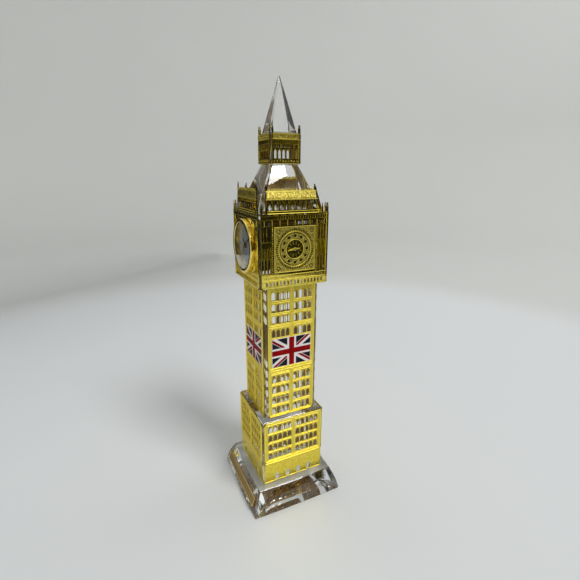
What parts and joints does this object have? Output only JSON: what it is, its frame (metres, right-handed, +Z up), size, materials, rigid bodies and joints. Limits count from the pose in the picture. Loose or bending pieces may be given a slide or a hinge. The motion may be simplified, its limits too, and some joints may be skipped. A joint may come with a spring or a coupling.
{
  "type": "clock tower souvenir",
  "caption": "Clear glass clock-tower souvenir clad in pierced brass sheets, with a small push-in quartz clock in its front face.",
  "frame": {"origin": "middle of the underside, on the surface the model stands on", "axes": "+Z up, front face with the working clock towards -Y, +X to the right seen from the front"},
  "size_m": [0.055, 0.055, 0.222],
  "materials": {
    "crystal_glass": "polished optical glass, clear",
    "lens_glass": "clear domed crystal",
    "etched_brass": "bright gilt, half-etched relief",
    "nameplate_brass": "satin gilt, blank",
    "polished_gold": "mirror-polished gold plate",
    "flag_enamel": "glossy enamel in red, white and navy",
    "dial_white": "pale satin dial with black numerals",
    "hand_black": "black paint",
    "hand_red": "red paint",
    "black_plastic": "moulded, fine grain",
    "grip_rubber": "translucent soft ring",
    "steel": "fine brushed",
    "gear_brass": "cut and brushed",
    "copper_wire": "lacquered copper winding",
    "green_board": "solder mask"
  },
  "bodies": {
    "tower": {"glass_base": "crystal_glass", "glass_plinth": "crystal_glass", "glass_shaft": "crystal_glass", "glass_clock_block": "crystal_glass", "glass_roof": "crystal_glass", "glass_gallery": "crystal_glass", "glass_spire": "crystal_glass", "plinth_panel_front": "etched_brass", "plinth_panel_right": "etched_brass", "plinth_panel_back": "etched_brass", "plinth_panel_left": "etched_brass", "shaft_panel_front": "etched_brass", "shaft_panel_right": "etched_brass", "shaft_panel_back": "etched_brass", "shaft_panel_left": "etched_brass", "clock_panel_front": "etched_brass", "clock_panel_right": "etched_brass", "clock_panel_back": "etched_brass", "clock_panel_left": "etched_brass", "gallery_panel_front": "etched_brass", "gallery_panel_right": "etched_brass", "gallery_panel_back": "etched_brass", "gallery_panel_left": "etched_brass", "flag_front": "flag_enamel", "flag_right": "flag_enamel", "flag_back": "flag_enamel", "flag_left": "flag_enamel", "nameplate": "nameplate_brass"},
    "insert": {"bezel": "polished_gold", "lens": "lens_glass", "dial": "dial_white", "insert_case": "black_plastic", "grip_ring": "grip_rubber", "back_cover": "black_plastic", "movement_plate": "steel", "train_bridge": "steel", "bridge_screws": "steel", "stator": "steel", "coil": "copper_wire", "circuit_board": "green_board", "quartz_crystal": "steel", "battery": "steel", "battery_cup": "gear_brass"},
    "minute_group": {"minute_hand": "hand_black", "cannon_pinion": "gear_brass"},
    "hour_group": {"hour_hand": "hand_black", "hour_wheel": "gear_brass"},
    "minute_wheel_body": {"minute_wheel": "gear_brass"},
    "knob_body": {"setting_knob": "black_plastic"},
    "second_group": {"second_hand": "hand_red", "seconds_wheel": "gear_brass"},
    "centre_wheel_body": {"centre_wheel": "gear_brass"},
    "third_wheel_body": {"third_wheel": "gear_brass"},
    "intermediate_body": {"intermediate_wheel": "gear_brass"},
    "rotor_body": {"rotor": "steel"}
  },
  "joints": [
    {"name": "insert_pull", "type": "slide", "parent": "tower", "child": "insert", "axis": [0, -1, 0], "range_m": [0, 0.014]},
    {"name": "minute_turn", "type": "hinge", "parent": "insert", "child": "minute_group", "pos_m": [0, -0.0173, 0.1445], "axis": [0, 1, 0], "continuous": true},
    {"name": "minute_wheel_turn", "type": "hinge", "parent": "insert", "child": "minute_wheel_body", "pos_m": [0.00156, -0.0173, 0.1472], "axis": [0, 1, 0], "continuous": true},
    {"name": "hour_turn", "type": "hinge", "parent": "insert", "child": "hour_group", "pos_m": [0, -0.0173, 0.1445], "axis": [0, 1, 0], "continuous": true},
    {"name": "setting_turn", "type": "hinge", "parent": "insert", "child": "knob_body", "pos_m": [0.00312, -0.0173, 0.1499], "axis": [0, 1, 0], "continuous": true},
    {"name": "rotor_turn", "type": "hinge", "parent": "insert", "child": "rotor_body", "pos_m": [0.00606, -0.0173, 0.141], "axis": [0, 1, 0], "continuous": true},
    {"name": "intermediate_turn", "type": "hinge", "parent": "insert", "child": "intermediate_body", "pos_m": [0.00356, -0.0173, 0.14244], "axis": [0, 1, 0], "continuous": true},
    {"name": "second_turn", "type": "hinge", "parent": "insert", "child": "second_group", "pos_m": [0, -0.0173, 0.1445], "axis": [0, 1, 0], "continuous": true},
    {"name": "third_turn", "type": "hinge", "parent": "insert", "child": "third_wheel_body", "pos_m": [-0.00353, -0.0173, 0.14654], "axis": [0, 1, 0], "continuous": true},
    {"name": "centre_turn", "type": "hinge", "parent": "insert", "child": "centre_wheel_body", "pos_m": [0, -0.0173, 0.1445], "axis": [0, 1, 0], "continuous": true}
  ],
  "couplings": [
    {"joint": "minute_wheel_turn", "follows": "minute_turn", "ratio": -0.33333},
    {"joint": "hour_turn", "follows": "minute_turn", "ratio": 0.083333},
    {"joint": "setting_turn", "follows": "minute_turn", "ratio": 1},
    {"joint": "intermediate_turn", "follows": "rotor_turn", "ratio": -0.2},
    {"joint": "second_turn", "follows": "rotor_turn", "ratio": 0.033333},
    {"joint": "third_turn", "follows": "rotor_turn", "ratio": -0.0044444},
    {"joint": "centre_turn", "follows": "rotor_turn", "ratio": 0.00055556}
  ]
}
